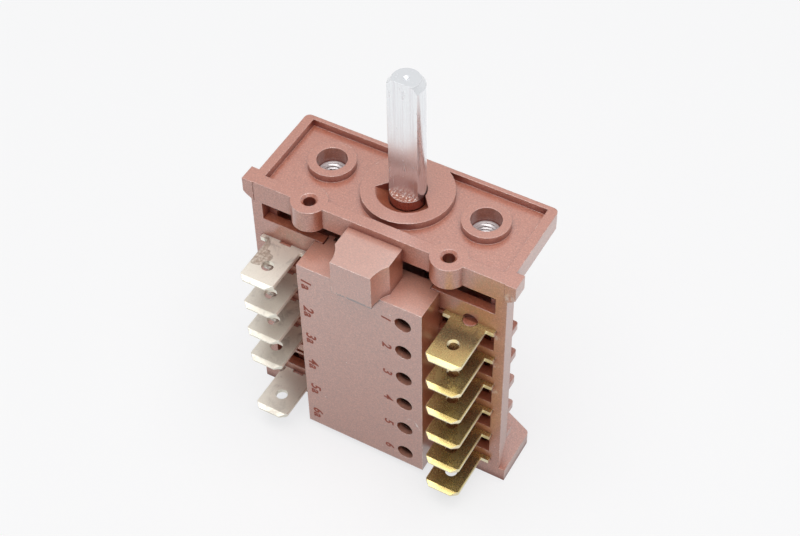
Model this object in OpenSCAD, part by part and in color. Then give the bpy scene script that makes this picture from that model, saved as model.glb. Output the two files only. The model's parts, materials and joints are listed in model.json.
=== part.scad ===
// Oven selector switch, six contact levels, front terminals and a D-shaft.
// Millimetres. X runs along the mounting plate, -Y is the terminal side, +Z is up the shaft.
// The origin is the shaft axis on the mounting face.

/* [Mounting plate] */
// Length of the plate along X
plate_w = 46.2; // [44:0.1:60]
// Shaft axis to the front edge of the plate
plate_front = 10.5; // [10:0.1:14]
// Shaft axis to the back edge of the plate
plate_back = 7.3; // [7.3:0.1:12]
// Thickness of the plate
plate_t = 3.5; // [3:0.1:5]
// Height of the beam along the front edge
beam_h = 4.25; // [4:0.05:6]
// Depth of the tray in the top of the plate
tray_d = 1.35; // [0.6:0.05:2]
// Width of the rim at the two ends
rim_end = 1.65; // [0.8:0.05:3]
// Width of the rim along the back
rim_back = 0.8; // [0.5:0.05:2]
// Width of the rim along the front
rim_front = 2.1; // [1.5:0.05:3]
// Radius of the back corners
corner_r = 1.0; // [0.3:0.1:2]
// How far the end lugs stand out past the plate
lug_out = 1.4; // [0.5:0.1:3]
// Length of an end lug along Y
lug_len = 3.0; // [1.5:0.1:5]
// Height of an end lug
lug_h = 3.3; // [2:0.1:4]
// Size of the chamfer and bevel of an end lug
lug_cut = 0.5; // [0.2:0.1:0.8]

/* [Fixing bosses] */
// Distance between the two fixing holes
fix_pitch = 28; // [27:0.5:32]
// Outside diameter of a boss
boss_d = 8; // [7:0.1:9]
// Diameter of the socket in a boss
socket_d = 5.1; // [4.8:0.1:6]
// Depth of the threaded insert below the mounting face
insert_depth = 2.85; // [1:0.05:4]
// Length of the threaded insert
insert_len = 6; // [3:0.5:7]
// Core diameter of the insert's thread
thread_core_d = 3.3; // [2.5:0.1:4.2]
// Length of a boss column below the mounting face
boss_len = 10; // [9:0.5:10.5]
// Thickness of the floor left under the socket
boss_floor = 1.1; // [0.6:0.1:1.1]

/* [Centre disc and ears] */
// Diameter of the raised disc round the shaft
disc_d = 15.3; // [12:0.1:18]
// Gap all round between the shaft and its hole in the plate
shaft_gap = 0.15; // [0.1:0.05:0.6]
// How far the coned recess in front of the shaft reaches out from the shaft hole
recess_reach = 2.15; // [1:0.05:3]
// Depth of the coned recess
recess_depth = 2.0; // [0.5:0.1:2.2]
// Angle between the recess's slanted sides and the front direction
recess_angle = 39.5; // [30:0.5:50]
// Distance between the two ear holes
ear_pitch = 25; // [20:0.5:30]
// Distance of the ear holes in front of the shaft axis
ear_y = 9.55; // [8:0.05:12]
// Outside diameter of an ear
ear_d = 6.1; // [4:0.1:7]
// Diameter of an ear hole
ear_hole_d = 2.0; // [1:0.1:3]
// Diameter of the countersink of an ear hole
ear_sink_d = 2.85; // [2:0.05:4]

/* [Shaft] */
// Diameter of the steel shaft
shaft_d = 6; // [5.8:0.05:6]
// Size across the flat of the shaft
shaft_flat = 4.5; // [4:0.1:5.5]
// Height of the shaft above the mounting face
shaft_h = 23.4; // [10:0.1:45]
// Radial width of the end chamfer
shaft_chamfer = 0.7; // [0.2:0.1:1.2]
// Axial length of the end chamfer
shaft_chamfer_len = 1.1; // [0.2:0.1:2]
// Radius of the centre mark in the shaft's end
centre_r = 0.6; // [0.3:0.05:1]
// Depth of the shaft below the mounting face
shaft_sunk = 24; // [16:0.5:40]
// Depth below the mounting face at which the sunk end's flat begins
shaft_key = 8; // [7:0.5:12]

/* [Contact levels] */
// Number of levels is six, and this is the distance between two of them
pitch = 6.85; // [6.7:0.05:8]
// Depth of the first terminal's middle plane below the mounting face
level_1 = 12.05; // [12:0.05:13]
// Height of the ladder's bars from the second down
bar_h = 1.6; // [1.2:0.05:2.4]
// Depth of the first bar's top below the mounting face
bar_1_top = 7.9; // [7.5:0.05:9]
// Depth of the ladder's bars along Y
bar_depth = 1.7; // [1.2:0.05:1.7]
// Width of the ladder's two outer posts
post_w = 1.95; // [1.5:0.05:3]
// Depth of the outer posts along Y
post_depth = 2.5; // [1.8:0.05:2.5]
// Height of the slanted cut behind an outer post's lower end
post_cut = 6.1; // [3:0.1:8]
// Width of the two inner posts that the cover lies against
inner_post_w = 1.3; // [0.9:0.05:1.3]
// Thickness of the lip under each terminal
lip_h = 0.45; // [0.3:0.05:0.8]
// Thickness of the shelves between two levels
shelf_t = 1.3; // [0.8:0.1:1.6]
// Depth of a shelf's top below its level's middle plane
shelf_drop = 1.55; // [1.2:0.05:2]

/* [Foot] */
// Distance from the last level's middle plane down to the foot's top
foot_gap = 1.8; // [1.5:0.1:4]
// Thickness of the foot
foot_t = 2.8; // [2:0.1:5]
// How far the foot stands out past the ladder at each side
foot_out = 1.1; // [0:0.1:4]
// Radius of the foot's corners
foot_corner = 0.9; // [0.3:0.1:2]
// Distance of the foot's straight sides' back end in front of the shaft axis
foot_side_y = 1.1; // [0:0.1:4]
// Width of the foot's back edge
foot_back_w = 10.6; // [6:0.1:20]

/* [Rear body] */
// Wall thickness of the rear body
wall = 1.2; // [0.8:0.1:1.4]
// Gap between the rear body's sides and the ladder's outer posts
body_side_gap = 0.1; // [0.05:0.05:1]
// Gap between the cams and the wall of their chamber
chamber_gap = 0.6; // [0.3:0.05:0.7]
// Distance of the side walls' back end in front of the shaft axis
body_side_y = 4.7; // [3.5:0.1:5.5]
// Width of the flat back
body_back_w = 16; // [14:0.5:20]
// How far the fins reach back past the posts
fin_len = 2.15; // [1:0.05:3]
// Radius of a fin's corner
fin_r = 0.5; // [0.2:0.1:0.9]
// How far the top shelf's front stands back, behind the openings under the beam
shelf_set = 2.5; // [1:0.1:4]

/* [Front cover] */
// Width of the cover
cover_w = 22.8; // [22.4:0.1:23.2]
// How far the cover stands out of the ladder
cover_proud = 5.8; // [4:0.1:8]
// Top of the cover below the mounting face
cover_top = 8.1; // [8:0.1:9]
// How far the cover reaches down in front of the foot
cover_lap = 1.25; // [0.5:0.05:2.5]
// Wall thickness of the cover
cover_wall = 1.4; // [1:0.1:1.5]
// Diameter of the six holes in the cover
probe_d = 3.0; // [1.5:0.1:3.6]
// Distance of the holes and the contacts to the right of the shaft axis
contact_x = 8.0; // [7.6:0.1:8.4]

/* [Snout] */
// Width of the snout where it leaves the ladder
snout_w = 9.7; // [8.5:0.1:12]
// Width of the snout's front face
snout_front_w = 7.2; // [6.2:0.1:8]
// How far the snout stands out of the ladder
snout_proud = 7.8; // [7:0.1:10]
// Top of the snout below the mounting face
snout_top = 1.5; // [1:0.1:2]
// Bottom of the snout below the mounting face
snout_bottom = 8.5; // [8.2:0.1:9]
// Length over which the snout narrows
snout_taper_len = 3.5; // [2:0.1:4.5]
// Wall thickness at the snout's front
snout_wall = 1.2; // [0.8:0.1:1.6]
// Wall thickness of the detent's guide
guide_wall = 0.8; // [0.5:0.05:0.9]

/* [Terminals] */
// Width of a terminal blade
blade_w = 6.3; // [4.8:0.1:6.4]
// Thickness of the sheet
sheet_t = 0.8; // [0.5:0.05:0.8]
// Length of a blade in front of the ladder
blade_len = 10; // [7:0.1:12]
// Distance of the right blades' middle from the outer post beside them
brass_in = 4.22; // [4.05:0.01:4.35]
// Distance of the left blades' middle from the outer post beside them
steel_in = 4.08; // [3.95:0.01:4.35]
// Width over a terminal's shoulders
shoulder_w = 9.0; // [7.5:0.1:9]
// How far the shoulders stand in front of the ladder
shoulder_out = 0.8; // [0.4:0.1:1.5]
// Size of the corner cuts at a blade's tip
tip_cut = 1.1; // [0.5:0.1:1.6]
// Length of the bevel at a blade's tip
tip_bevel_len = 0.85; // [0.2:0.05:1]
// Depth of the bevel at a blade's tip
tip_bevel = 0.26; // [0.1:0.01:0.3]
// Chamfer along a blade's long edges
edge_break = 0.12; // [0.05:0.01:0.2]
// Diameter of the hole in a blade
blade_hole_d = 2.1; // [1.2:0.1:2.5]
// Distance of that hole from the blade's tip
blade_hole_y = 4.3; // [3:0.1:5]
// Diameter of the right terminals' root hole
root_hole_d = 2.6; // [1.5:0.1:3]
// Width of the left terminals' root slot
root_slot_w = 2.1; // [1.5:0.1:3]
// Height of the upright plate inside
upright_h = 3.2; // [2.8:0.1:3.4]
// Length of a contact spring's root that lies on its upright plate
seam_len = 3.12; // [2.5:0.1:4]

/* [Contact springs] */
// Thickness of a contact spring
leaf_t = 0.3; // [0.15:0.05:0.4]
// Width of a contact spring
leaf_w = 2.8; // [2.2:0.1:2.9]
// Outside radius of a spring's nose
nose_r = 1.5; // [1:0.05:1.7]
// Depth of a spring's nose behind the leaf's front face
nose_depth = 3.05; // [2:0.05:3.2]
// Gap between two open contacts
contact_gap = 1.2; // [0.6:0.1:1.4]
// Diameter of a contact's head
contact_d = 2.6; // [2:0.1:2.8]
// Thickness of a contact's head
contact_t = 0.65; // [0.4:0.05:0.8]
// Radius of a contact's shank
rivet_r = 0.6; // [0.4:0.05:0.8]
// Radius of the tail behind a contact's carrier
tail_r = 1.0; // [0.8:0.05:1.2]
// Thickness of that tail
tail_t = 0.3; // [0.2:0.05:0.4]
// How far a spring reaches past its contact's axis
leaf_past = 1.6; // [1.3:0.1:2]

/* [Cams and detent] */
// Radius of the cams' lobes
lobe_r = 5.5; // [5.2:0.05:5.6]
// Lift of the cams
cam_lift = 1.0; // [0.6:0.1:1.2]
// Thickness of a cam
cam_t = 3.4; // [2.8:0.1:3.6]
// Wall of the camshaft's hub round the shaft
hub_wall = 0.9; // [0.6:0.1:1]
// Number of notches in the index wheel
notch_count = 12; // [12:12:12]
// Depth of the upper journal's end below the mounting face
journal_top = 2.6; // [2.4:0.1:2.9]
// Radius of the lower journal
journal_low_r = 2.5; // [2:0.1:3]
// Outside radius of the index wheel
wheel_r = 5.6; // [5.4:0.05:5.7]
// Thickness of the index wheel
wheel_t = 2.7; // [2:0.1:2.8]
// Depth of a notch
notch_depth = 0.6; // [0.4:0.05:0.7]
// Radius of the detent ball
ball_r = 2.2; // [1.8:0.05:2.3]
// Radial running clearance of ball, journals and notches
run_clear = 0.05; // [0.02:0.01:0.08]
// Wire diameter of the detent spring
wire_d = 0.5; // [0.3:0.05:0.6]
// Working turns of the detent spring
spring_turns = 6; // [4:1:8]

/* [Hidden] */
$fn = 64;
levels = 6;
eps = 0.01;
seat = 0.03; // clearance of pieces that sit tight in plastic
slide_gap = 0.05; // clearance of a part that is slid into place
free_gap = 0.1; // clearance of pieces that pass each other

moulding = "#a8533f";
cam_moulding = "#3c2e2a";
brass = "#c9a64b";
nickel = "#b9b4a9";
zinc = "#c8ccd0";
bronze = "#b87a3d";
silver = "#d8d8dc";

half_w = plate_w / 2;
ladder_y = -plate_front; // front plane of the ladder
bar_back = ladder_y + bar_depth; // back plane of the bars, where the rear body seats
post_in = half_w - post_w; // inner side of an outer post
body_half = post_in - body_side_gap;
shaft_hole_r = shaft_d / 2 + shaft_gap;
recess_r = shaft_hole_r + recess_reach;
brass_x = post_in - brass_in;
steel_x = post_in - steel_in;
inner_post_out = cover_w / 2 - 0.2; // the cover stands a little past the inner posts
inner_post_in = inner_post_out - inner_post_w;
foot_top = level_1 + pitch * (levels - 1) + foot_gap;
foot_bottom = foot_top + foot_t;
foot_half = half_w + foot_out;
cover_bottom = foot_top + cover_lap;
fix_x = fix_pitch / 2;
ear_x = ear_pitch / 2;

// Height of a level's middle plane, and of what is set out from it
function level_z(k) = -level_1 - pitch * (k - 1);
function sheet_top(k) = level_z(k) + sheet_t / 2;
function sheet_bottom(k) = level_z(k) - sheet_t / 2;
function bar_top(k) = k == 1 ? -bar_1_top : sheet_top(k) + bar_h;
function shelf_top(k) = level_z(k) - shelf_drop;
function contact_z(k) = sheet_bottom(k) + upright_h / 2 - 0.05;

// Front cover and the detent that it holds
cover_half = cover_w / 2;
cover_y = ladder_y - cover_proud;
snout_y = ladder_y - snout_proud;
detent_z = -(snout_top + snout_bottom) / 2;
ball_y = -(wheel_r - notch_depth + ball_r + run_clear * 0.6);
bore_r = ball_r + run_clear;
bore_end_y = snout_y + snout_wall;
guide_end_y = ball_y + 0.2; // the guide holds the ball by a little more than half
guide_r = bore_r + guide_wall;
spring_r = ball_r - wire_d / 2 - 0.25; // mean radius of the coil
spring_in_y = ball_y - sqrt(ball_r * ball_r - spring_r * spring_r) - wire_d / 2 - free_gap;
spring_out_y = bore_end_y + wire_d / 2 + free_gap;
spring_len = spring_in_y - spring_out_y;
coils = spring_turns + 2; // with the closed turn at each end
spring_sides = 6;
spring_steps = 14; // per turn

// Camshaft
hub_r = shaft_d / 2 + hub_wall;
journal_top_r = hub_r + 0.1;
chamber_r = lobe_r + chamber_gap;
wheel_top_z = detent_z + wheel_t / 2;
wheel_low_z = detent_z - wheel_t / 2;
valley_r = lobe_r - cam_lift;
valley_end_r = 2.0; // a valley's ends rise with this radius
step = 360 / notch_count;
// Runs of positions, counted from off, over which each level's contact is closed
closed_runs = [
  [[1, 11]],
  [[2, 3], [6, 7]],
  [[1, 1], [4, 5], [9, 9]],
  [[3, 3], [8, 10]],
  [[5, 6], [10, 10]],
  [[7, 8], [11, 11]]
];

// Contact springs: the root lies on the left terminal, the tip carries the contact
leaf_root_x = -steel_x + blade_w / 2 + 0.2;
leaf_tip_x = contact_x + leaf_past;
nose_y = -lobe_r - slide_gap - nose_r;
leaf_y = lobe_r + slide_gap + nose_depth; // distance of the leaf's front face from the shaft axis
leaf_back = -leaf_y + leaf_t;
steel_plate_y = leaf_back; // front face of the left terminals' upright plate
fixed_face_y = leaf_back + contact_t + contact_gap;
brass_plate_y = fixed_face_y + contact_t;
steel_plate_x = -leaf_root_x - seam_len; // distance of the plate's inner end from the shaft axis
inner_x = body_half - wall - 0.3; // outermost reach of a terminal inside the rear body

// The level 5 link's strap, and the terminals' blades and root slots
link_lo_x = -steel_x + 1.1;
link_hi_x = -steel_plate_x - 1.6;
blade_tip_y = ladder_y - blade_len;
slot_front = 0.5; // reach of the root slot in front of the ladder
slot_back = 0.6; // reach of the root slot behind the ladder's front

// A box from its two corners
module box(lo, hi) {
  translate(lo) cube(hi - lo);
}

// A prism between two heights, from a drawing in X and Y
module slab(z_lo, z_hi) {
  translate([0, 0, z_lo]) linear_extrude(z_hi - z_lo) children();
}

// A bar along X between two places, from a drawing in Y and Z
module along_x(x_lo, x_hi) {
  translate([x_lo, 0, 0]) rotate([90, 0, 90]) linear_extrude(x_hi - x_lo) children();
}

// A round bar along Y
module round_y(x, z, y_lo, y_hi, r) {
  translate([x, y_lo, z]) rotate([-90, 0, 0]) cylinder(h = y_hi - y_lo, r = r);
}

module both_sides() {
  children();
  mirror([1, 0, 0]) children();
}

module plate_outline() {
  difference() {
    translate([-half_w, -plate_front]) square([plate_w, plate_front + plate_back]);
    both_sides() translate([half_w - corner_r, plate_back - corner_r]) difference() {
      square(2 * corner_r);
      circle(corner_r);
    }
  }
}

module ears_outline() {
  both_sides() translate([ear_x, -ear_y]) circle(d = ear_d);
}

// Everything of the plate's top that stays level with the mounting face inside the tray
module raised_outline() {
  both_sides() translate([fix_x, 0]) circle(d = boss_d);
  circle(d = disc_d);
  ears_outline();
}

module tray() {
  slab(-tray_d, eps) difference() {
    translate([-half_w + rim_end, ladder_y + rim_front])
      square([plate_w - 2 * rim_end, plate_front + plate_back - rim_front - rim_back]);
    raised_outline();
  }
}

// The coned sector in front of the shaft, bounded by two straight walls
module recess() {
  side_x = shaft_hole_r;
  reach = 2 * recess_r;
  out_x = side_x + reach * sin(recess_angle);
  out_y = -reach * cos(recess_angle);
  intersection() {
    translate([0, 0, -recess_depth])
      cylinder(h = recess_depth + eps, r1 = shaft_hole_r, r2 = recess_r);
    slab(-recess_depth - eps, 1) polygon([
      [-side_x, 0], [side_x, 0], [out_x, out_y],
      [side_x, 2 * out_y], [-side_x, 2 * out_y], [-out_x, out_y]
    ]);
  }
}

module end_lug() {
  front_y = ladder_y - 0.1; // just proud of the beam
  out_x = half_w + lug_out;
  translate([0, front_y + lug_len, 0]) rotate([90, 0, 0]) linear_extrude(lug_len) polygon([
    [half_w - lug_cut, 0], [out_x, 0], [out_x, -lug_h + lug_cut],
    [out_x - lug_cut, -lug_h], [half_w - lug_cut, -beam_h]
  ]);
}

// Outer post, with the slanted cut behind its lower end
module outer_post() {
  back_y = ladder_y + post_depth;
  along_x(post_in, half_w) polygon([
    [ladder_y, -plate_t], [back_y, -plate_t], [back_y, -foot_top + post_cut],
    [ladder_y + 0.3, -foot_top], [ladder_y, -foot_top]
  ]);
}

// The bars and lips that a terminal lies between, on one side of the cover
module ladder_side() {
  for (k = [1:levels]) {
    box([inner_post_in, ladder_y, sheet_top(k)], [post_in + eps, bar_back, bar_top(k)]);
    box([inner_post_in, ladder_y, sheet_bottom(k) - lip_h], [post_in + eps, bar_back, sheet_bottom(k)]);
  }
  box([inner_post_in, ladder_y, -foot_top - eps], [inner_post_out, bar_back, -bar_1_top]);
  box([inner_post_in, ladder_y, -foot_top - eps],
    [post_in + eps, bar_back, sheet_bottom(levels) - lip_h + eps]);
}

// Room for one terminal's wide root between bar and lip
module terminal_slot(x, k) {
  w = shoulder_w / 2 + slide_gap;
  box([x - w, ladder_y - 1, sheet_bottom(k)], [x + w, bar_back + 1, sheet_top(k)]);
}

// Points of a corner rounded to radius r, from the outline's points before, at and after it
function rounded(a, p, b, r) =
  let (u = (a - p) / norm(a - p))
  let (v = (b - p) / norm(b - p))
  let (half = acos(u * v) / 2)
  let (mid = (u + v) / norm(u + v))
  let (c = p + mid * r / sin(half))
  let (turn = 90 - half)
  let (from = atan2(-mid[1], -mid[0]))
  let (side = u[0] * v[1] - u[1] * v[0] > 0 ? 1 : -1)
  [for (i = [-4:4]) c + r * [cos(from - side * turn * i / 4), sin(from - side * turn * i / 4)]];

module foot_outline() {
  front = [foot_half, ladder_y];
  side = [foot_half, -foot_side_y];
  back = [foot_back_w / 2, plate_back];
  right = concat(
    [front], rounded(front, side, back, foot_corner), rounded(side, back, [0, plate_back], foot_corner)
  );
  polygon(concat(right, [for (i = [len(right) - 1:-1:0]) [-right[i][0], right[i][1]]]));
}

// Plate, ladder and foot are one moulding
module front_frame() {
  ear_sink = (ear_sink_d - ear_hole_d) / 2;
  color(moulding) {
    difference() {
      union() {
        slab(-plate_t, 0) plate_outline();
        box([-half_w, ladder_y, -beam_h], [half_w, bar_back, 0]);
        slab(-beam_h, 0) ears_outline();
        both_sides() {
          end_lug();
          translate([fix_x, 0, -boss_len]) cylinder(h = boss_len, d = boss_d);
          outer_post();
          ladder_side();
        }
        slab(-foot_bottom, -foot_top) foot_outline();
      }
      tray();
      recess();
      // shaft hole, and the counterbore under it for the camshaft's upper journal
      translate([0, 0, -plate_t - 1]) cylinder(h = plate_t + 2, r = shaft_hole_r);
      translate([0, 0, -plate_t - 1])
        cylinder(h = plate_t + 1 - journal_top + run_clear, r = journal_top_r + run_clear);
      both_sides() {
        translate([fix_x, 0, -boss_len + boss_floor]) cylinder(h = boss_len, d = socket_d);
        translate([fix_x, 0, -boss_len - 1]) cylinder(h = boss_floor + 2, d = thread_core_d + 1);
        translate([ear_x, -ear_y, -beam_h - 1]) cylinder(h = beam_h + 2, d = ear_hole_d);
        translate([ear_x, -ear_y, -ear_sink]) cylinder(h = ear_sink + eps, d1 = ear_hole_d, d2 = ear_sink_d);
      }
      for (k = [1:levels]) {
        terminal_slot(brass_x, k);
        terminal_slot(-steel_x, k);
        translate([brass_x, ladder_y, sheet_top(k)]) rotate([45, 0, 0]) sphere(d = root_hole_d);
      }
      // way through the beam for the detent's guide, and on for the ball
      round_y(0, detent_z, ladder_y - 1, guide_end_y + free_gap, guide_r + free_gap);
      round_y(0, detent_z, ladder_y - 1, -journal_top_r + 0.3, bore_r + free_gap);
      // bearing of the camshaft's lower journal
      translate([0, 0, -foot_bottom - 1]) cylinder(h = foot_t + 2, r = journal_low_r + run_clear);
    }
    for (k = [1:levels]) {
      brass_nub(k);
      if (k != 5) steel_nub(k);
    }
  }
}

// Nubs on the lips that lock the terminals by their root holes
module brass_nub(k) {
  r = root_hole_d / 2 - free_gap;
  difference() {
    translate([brass_x, ladder_y, sheet_bottom(k) - lip_h])
      cylinder(h = lip_h + sheet_t - free_gap, r = r);
    // only the half in front of the ladder stands up into the hole
    box([brass_x - r - 1, ladder_y + eps, sheet_bottom(k)],
      [brass_x + r + 1, ladder_y + r + 1, sheet_top(k)]);
  }
}

module steel_nub(k) {
  w = root_slot_w / 2 - free_gap;
  box([-steel_x - w, ladder_y - slot_front + free_gap, sheet_bottom(k) - lip_h],
    [-steel_x + w, ladder_y + slot_back - free_gap, sheet_top(k) - free_gap]);
}

// Outline of the rear body, or of the room in it. Its slanted backs run beside the foot's
module body_outline(inset) {
  slope = (plate_back + foot_side_y) / (foot_half - foot_back_w / 2);
  drop = inset * sqrt(1 + slope * slope);
  side = body_half - inset;
  side_y = -body_side_y - drop + inset * slope;
  back_x = body_back_w / 2;
  mid_y = side_y + (side - back_x) * slope;
  front_y = inset > 0 ? bar_back - 1 : bar_back;
  polygon([
    [side, front_y], [side, side_y], [back_x, mid_y],
    [-back_x, mid_y], [-side, side_y], [-side, front_y]
  ]);
}

module chamber_way() {
  circle(chamber_r);
  translate([-chamber_r, bar_back - 1]) square([2 * chamber_r, -bar_back + 1]);
}

module fin_outline() {
  y0 = ladder_y + post_depth + slide_gap;
  x0 = body_half - 1;
  translate([x0, y0]) square([half_w - x0, fin_len - fin_r]);
  translate([x0, y0]) square([half_w - x0 - fin_r, fin_len]);
  translate([half_w - fin_r, y0 + fin_len - fin_r]) circle(fin_r);
}

// Shell round the cams and contacts, with a shelf between each two levels
module rear_body() {
  top = -plate_t - slide_gap;
  low = -foot_top + slide_gap;
  color(moulding) difference() {
    union() {
      slab(low, top) difference() {
        union() {
          body_outline(0);
          circle(chamber_r + wall);
        }
        body_outline(wall);
        circle(chamber_r);
      }
      for (k = [0:levels - 1]) slab(shelf_top(k) - shelf_t, shelf_top(k)) difference() {
        body_outline(0);
        chamber_way();
      }
      for (k = [1:levels - 1]) slab(shelf_top(k) - shelf_t, shelf_top(k)) both_sides() fin_outline();
    }
    // the slot and windows under the beam open into the room above the first level
    box([-inner_x, bar_back - 1, shelf_top(0) - shelf_t - eps],
      [inner_x, bar_back + shelf_set, shelf_top(0) + eps]);
    // in front of the seat plane the cam chamber is open
    box([-chamber_r - wall - 1, -20, low - 1], [chamber_r + wall + 1, bar_back, top + 1]);
    both_sides() translate([fix_x, 0, -boss_len - 2 * free_gap])
      cylinder(h = boss_len, d = boss_d + 4 * free_gap);
    link_way();
  }
}

// Room for the level 5 link where it passes the shelf between levels 4 and 5
module link_way() {
  gap = 0.3;
  box([link_lo_x - gap, bar_back - 1, shelf_top(4) - shelf_t - 1],
    [link_hi_x + gap, steel_plate_y + 2 * sheet_t + gap, shelf_top(4) + 1]);
}

// Snout in plan: straight sides, then hollow curves to the narrower front
module snout_outline() {
  snout_land = 0.2; // straight length at the front
  dx = (snout_w - snout_front_w) / 2;
  r = (snout_taper_len * snout_taper_len + dx * dx) / (2 * dx);
  difference() {
    translate([-snout_w / 2, snout_y]) square([snout_w, snout_proud]);
    both_sides() translate([snout_front_w / 2 + r, snout_y + snout_land]) circle(r, $fn = 128);
  }
}

// Hooks that catch behind the inner posts
module cover_hook(z) {
  x = inner_post_in - free_gap;
  t = 0.9;
  catch = 0.55;
  end_y = bar_back + 0.75;
  box([x - t, cover_y + 1, z], [x, end_y, z + t]);
  slab(z, z + t) polygon([
    [x - eps, bar_back + slide_gap], [x + catch, bar_back + slide_gap], [x - eps, end_y]
  ]);
}

module front_cover() {
  rib_z = 0.15; // a rib is thinner than its shelf by this, above and below
  rib_x = inner_post_in - 2 * free_gap;
  rib_back = bar_back - 2 * free_gap;
  color(moulding) difference() {
    union() {
      difference() {
        box([-cover_half, cover_y, -cover_bottom], [cover_half, ladder_y, -cover_top]);
        box([-cover_half + cover_wall, cover_y + cover_wall, -cover_bottom + cover_wall],
          [cover_half - cover_wall, ladder_y + 1, -cover_top - cover_wall]);
      }
      slab(-snout_bottom, -snout_top) snout_outline();
      round_y(0, detent_z, ladder_y - 1, guide_end_y, guide_r);
      // the top wall reaches back between the inner posts, and so does a rib in front of each shelf
      box([-rib_x, ladder_y - 1, -cover_top - cover_wall], [rib_x, rib_back, -cover_top]);
      for (k = [1:levels - 1])
        box([-rib_x, cover_y + 1, shelf_top(k) - shelf_t + rib_z],
          [rib_x, rib_back, shelf_top(k) - rib_z]);
      both_sides() {
        cover_hook(-cover_top - 1.1);
        cover_hook(-foot_top + 2 * free_gap);
      }
    }
    round_y(0, detent_z, bore_end_y, 0, bore_r);
    for (k = [1:levels]) round_y(contact_x, level_z(k), cover_y - 1, cover_y + cover_wall + 1, probe_d / 2);
  }
}

// D-section of the shaft, with its flat towards the terminals
module d_outline(r, flat) {
  intersection() {
    circle(r, $fn = 96);
    translate([-r, flat - r]) mirror([0, 1]) square([2 * r, 3 * r]);
    translate([-r, -(flat - r)]) square([2 * r, 3 * r]);
  }
}

module shaft() {
  r = shaft_d / 2;
  flat_y = shaft_flat - r;
  cut = 2 * r;
  color(zinc) difference() {
    union() {
      translate([0, 0, -shaft_sunk]) cylinder(h = shaft_sunk + shaft_h - shaft_chamfer_len, r = r, $fn = 96);
      translate([0, 0, shaft_h - shaft_chamfer_len])
        cylinder(h = shaft_chamfer_len, r1 = r, r2 = r - shaft_chamfer, $fn = 96);
    }
    box([-cut, -cut, 0], [cut, -flat_y, shaft_h + 1]);
    box([-cut, -cut, -shaft_sunk - 1], [cut, -flat_y, -shaft_key]);
    translate([0, 0, shaft_h - centre_r / 2])
      cylinder(h = centre_r / 2 + eps, r1 = centre_r / 10, r2 = centre_r);
  }
}

// Direction of a position round the shaft, as the contacts see it
function at(p) = [cos(-90 - step * p), sin(-90 - step * p)];

// One cam: lobes at full radius, valleys where the level's contact may close
module cam(k) {
  z0 = contact_z(k) - cam_t / 2;
  difference() {
    translate([0, 0, z0]) cylinder(h = cam_t, r = lobe_r, $fn = 128);
    for (run = closed_runs[k - 1]) {
      for (p = run)
        slab(z0 - 1, z0 + cam_t + 1) translate((valley_r + valley_end_r) * at(p)) circle(valley_end_r);
      if (run[1] > run[0]) difference() {
        slab(z0 - 1, z0 + cam_t + 1) polygon([[0, 0], for (p = [run[0]:run[1]]) 2 * lobe_r * at(p)]);
        translate([0, 0, z0 - 2]) cylinder(h = cam_t + 4, r = valley_r + 0.04, $fn = 128);
      }
    }
  }
}

module index_wheel() {
  difference() {
    translate([0, 0, wheel_low_z]) cylinder(h = wheel_t, r = wheel_r, $fn = 128);
    for (i = [0:notch_count - 1]) rotate([0, 0, -90 + step * i])
      translate([wheel_r - notch_depth + bore_r, 0, wheel_low_z - 1])
        cylinder(h = wheel_t + 2, r = bore_r);
  }
}

module camshaft() {
  r = shaft_d / 2 + seat;
  flat_y = shaft_flat - shaft_d / 2 + seat;
  hub_low = -foot_top + free_gap;
  color(cam_moulding) difference() {
    union() {
      translate([0, 0, hub_low]) cylinder(h = -journal_top - hub_low, r = hub_r);
      translate([0, 0, wheel_top_z - eps])
        cylinder(h = -journal_top - wheel_top_z + eps, r = journal_top_r);
      // the lower journal ends short of the foot's underside
      translate([0, 0, -foot_bottom + 4 * free_gap]) cylinder(h = foot_t, r = journal_low_r);
      index_wheel();
      for (k = [1:levels]) cam(k);
    }
    translate([0, 0, -shaft_key]) cylinder(h = shaft_key + 1, r = r, $fn = 96);
    difference() {
      translate([0, 0, -shaft_sunk - 2 * free_gap]) cylinder(h = shaft_sunk, r = r, $fn = 96);
      box([-2 * r, -2 * r, -shaft_sunk - 1], [2 * r, -flat_y, -shaft_key + 2 * free_gap]);
    }
  }
}

// Threaded insert, pushed into a boss from above
module insert(x) {
  top = -insert_depth;
  bore = thread_core_d / 2;
  lead_in = 0.45; // chamfer where the screw enters
  groove_len = 0.8; // groove that keys it in the plastic
  groove_depth = 0.3;
  color(zinc) translate([x, 0, 0]) difference() {
    translate([0, 0, top - insert_len]) cylinder(h = insert_len, d = socket_d - 2 * seat);
    translate([0, 0, top - insert_len - 1]) cylinder(h = insert_len + 2, r = bore);
    translate([0, 0, top - lead_in]) cylinder(h = lead_in + eps, r1 = bore, r2 = bore + lead_in);
    translate([0, 0, top - insert_len / 2 - groove_len / 2]) difference() {
      cylinder(h = groove_len, d = socket_d + 1);
      translate([0, 0, -1]) cylinder(h = groove_len + 2, d = socket_d - 2 * groove_depth);
    }
  }
}

module insert_left() {
  insert(-fix_x);
}

module insert_right() {
  insert(fix_x);
}

module detent_ball() {
  color(zinc) translate([0, ball_y, detent_z]) sphere(r = ball_r, $fn = 64);
}

// Rise of the spring's wire after t turns
function spring_rise(t) =
  let (flat = wire_d * 1.05)
  t < 1 ? t * flat
  : t > coils - 1 ? spring_len - (coils - t) * flat
  : flat + (t - 1) * (spring_len - 2 * flat) / spring_turns;

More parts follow.
